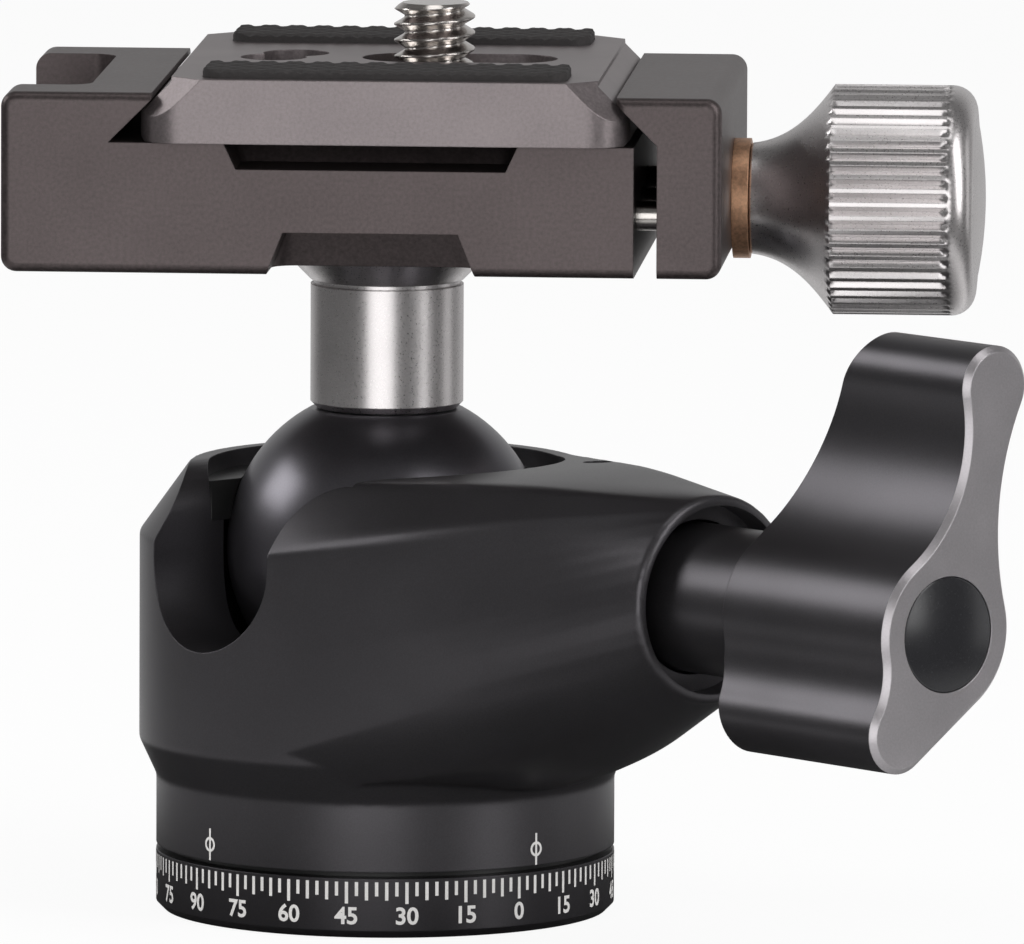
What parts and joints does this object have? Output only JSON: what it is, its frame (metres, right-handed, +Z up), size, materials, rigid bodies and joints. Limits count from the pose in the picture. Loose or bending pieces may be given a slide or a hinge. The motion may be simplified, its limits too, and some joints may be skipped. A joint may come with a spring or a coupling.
{
  "type": "tripod ball head",
  "caption": "Tripod ball head with a drop notch, a wing lock lever, a panning base with a degree scale and a screw-knob dovetail clamp holding a quick-release plate.",
  "frame": {"origin": "centre of the base's underside, at the mouth of the tripod thread", "axes": "+Z up along the panning axis; +X towards the clamp's knob; the quick-release plate slides along Y; the lock lever points along +X -Y at 45 degrees and the drop notch along -X -Y"},
  "size_m": [0.0805, 0.078, 0.0715],
  "materials": {
    "base_black": "satin black anodised",
    "shell_black": "satin charcoal black anodised",
    "ball_grey": "satin dark grey hard anodised",
    "neck_silver": "bright satin turned aluminium",
    "clamp_grey": "bead-blasted warm dark grey anodised",
    "plate_grey": "bead-blasted warm grey anodised",
    "knob_silver": "bright turned aluminium",
    "steel": "turned stainless steel",
    "bronze": "plain bronze",
    "brass": "turned brass",
    "seat_plastic": "smooth black acetal",
    "cap_black": "gloss black",
    "rubber_black": "matt black rubber",
    "mark_white": "matt white filled marks"
  },
  "bodies": {
    "base": {"pan_base": "base_black", "tripod_bushing": "steel", "pan_washer": "seat_plastic", "pan_retainer": "steel", "retainer_screws": "steel"},
    "body": {"shell": "shell_black", "upper_seat_ring": "seat_plastic", "set_screw": "steel", "lock_bushing": "brass", "cup_spring": "steel"},
    "pan_brake": {"pan_pad": "seat_plastic"},
    "pan_lock_knob": {"pan_knob": "knob_silver", "pan_screw": "steel"},
    "lock_pad": {"pressure_pad": "seat_plastic"},
    "lock_lever": {"lever": "shell_black", "lock_screw": "steel", "lever_bolt": "steel", "lever_cap": "cap_black"},
    "seat": {"ball_cup": "seat_plastic"},
    "ball_body": {"ball": "ball_grey"},
    "head": {"neck": "neck_silver", "clamp_body": "clamp_grey", "neck_bolt": "steel", "jaw_springs": "steel"},
    "jaw_carriage": {"jaw": "clamp_grey", "guide_pins": "steel"},
    "knob": {"clamp_knob": "knob_silver", "clamp_screw": "steel", "thrust_washer": "bronze", "knob_cap": "knob_silver"},
    "quick_plate": {"plate": "plate_grey", "rubber_strip_front": "rubber_black", "rubber_strip_back": "rubber_black"},
    "screw_carrier": {"screw_washer": "steel"},
    "mount_screw": {"camera_screw": "steel", "screw_clip": "steel"}
  },
  "joints": [
    {"name": "pan_turn", "type": "hinge", "parent": "base", "child": "body", "pos_m": [0, 0, 0.005], "axis": [0, 0, 1], "continuous": true},
    {"name": "pan_brake_slide", "type": "slide", "parent": "body", "child": "pan_brake", "axis": [0, 1, 0], "range_m": [0, 0.0005]},
    {"name": "pan_knob_turn", "type": "hinge", "parent": "pan_brake", "child": "pan_lock_knob", "pos_m": [0, 0.02, 0.008], "axis": [0, 1, 0], "range_deg": [0, 360]},
    {"name": "lock_pad_slide", "type": "slide", "parent": "body", "child": "lock_pad", "axis": [0.7071, -0.7071, 0], "range_m": [0, 0.0008]},
    {"name": "lock_lever_turn", "type": "hinge", "parent": "lock_pad", "child": "lock_lever", "pos_m": [0, 0, 0.02815], "axis": [0.7071, -0.7071, 0], "range_deg": [0, 288]},
    {"name": "ball_swivel", "type": "hinge", "parent": "body", "child": "seat", "pos_m": [0, 0, 0.0285], "axis": [0, 0, 1], "range_deg": [0, 360]},
    {"name": "ball_tilt", "type": "hinge", "parent": "seat", "child": "ball_body", "pos_m": [0, 0, 0.0285], "axis": [0.7071, -0.7071, 0], "range_deg": [-33, 90]},
    {"name": "neck_spin", "type": "hinge", "parent": "ball_body", "child": "head", "pos_m": [0, 0, 0.0285], "axis": [0, 0, 1], "continuous": true},
    {"name": "jaw_slide", "type": "slide", "parent": "head", "child": "jaw_carriage", "axis": [1, 0, 0], "range_m": [0, 0.0035]},
    {"name": "clamp_knob_turn", "type": "hinge", "parent": "jaw_carriage", "child": "knob", "pos_m": [0.0285, 0, 0.0563], "axis": [1, 0, 0], "range_deg": [0, 1575]},
    {"name": "plate_slide", "type": "slide", "parent": "head", "child": "quick_plate", "axis": [0, 1, 0], "range_m": [-0.012, 0.012]},
    {"name": "screw_slide", "type": "slide", "parent": "quick_plate", "child": "screw_carrier", "axis": [1, 0, 0], "range_m": [-0.002, 0.006]},
    {"name": "screw_turn", "type": "hinge", "parent": "screw_carrier", "child": "mount_screw", "pos_m": [0.00365, 0, 0.067], "axis": [0, 0, 1], "continuous": true}
  ],
  "couplings": [
    {"joint": "pan_knob_turn", "follows": "pan_brake_slide", "rad_per_m": 12566},
    {"joint": "lock_lever_turn", "follows": "lock_pad_slide", "rad_per_m": 6283.1},
    {"joint": "clamp_knob_turn", "follows": "jaw_slide", "rad_per_m": 7853.9}
  ]
}
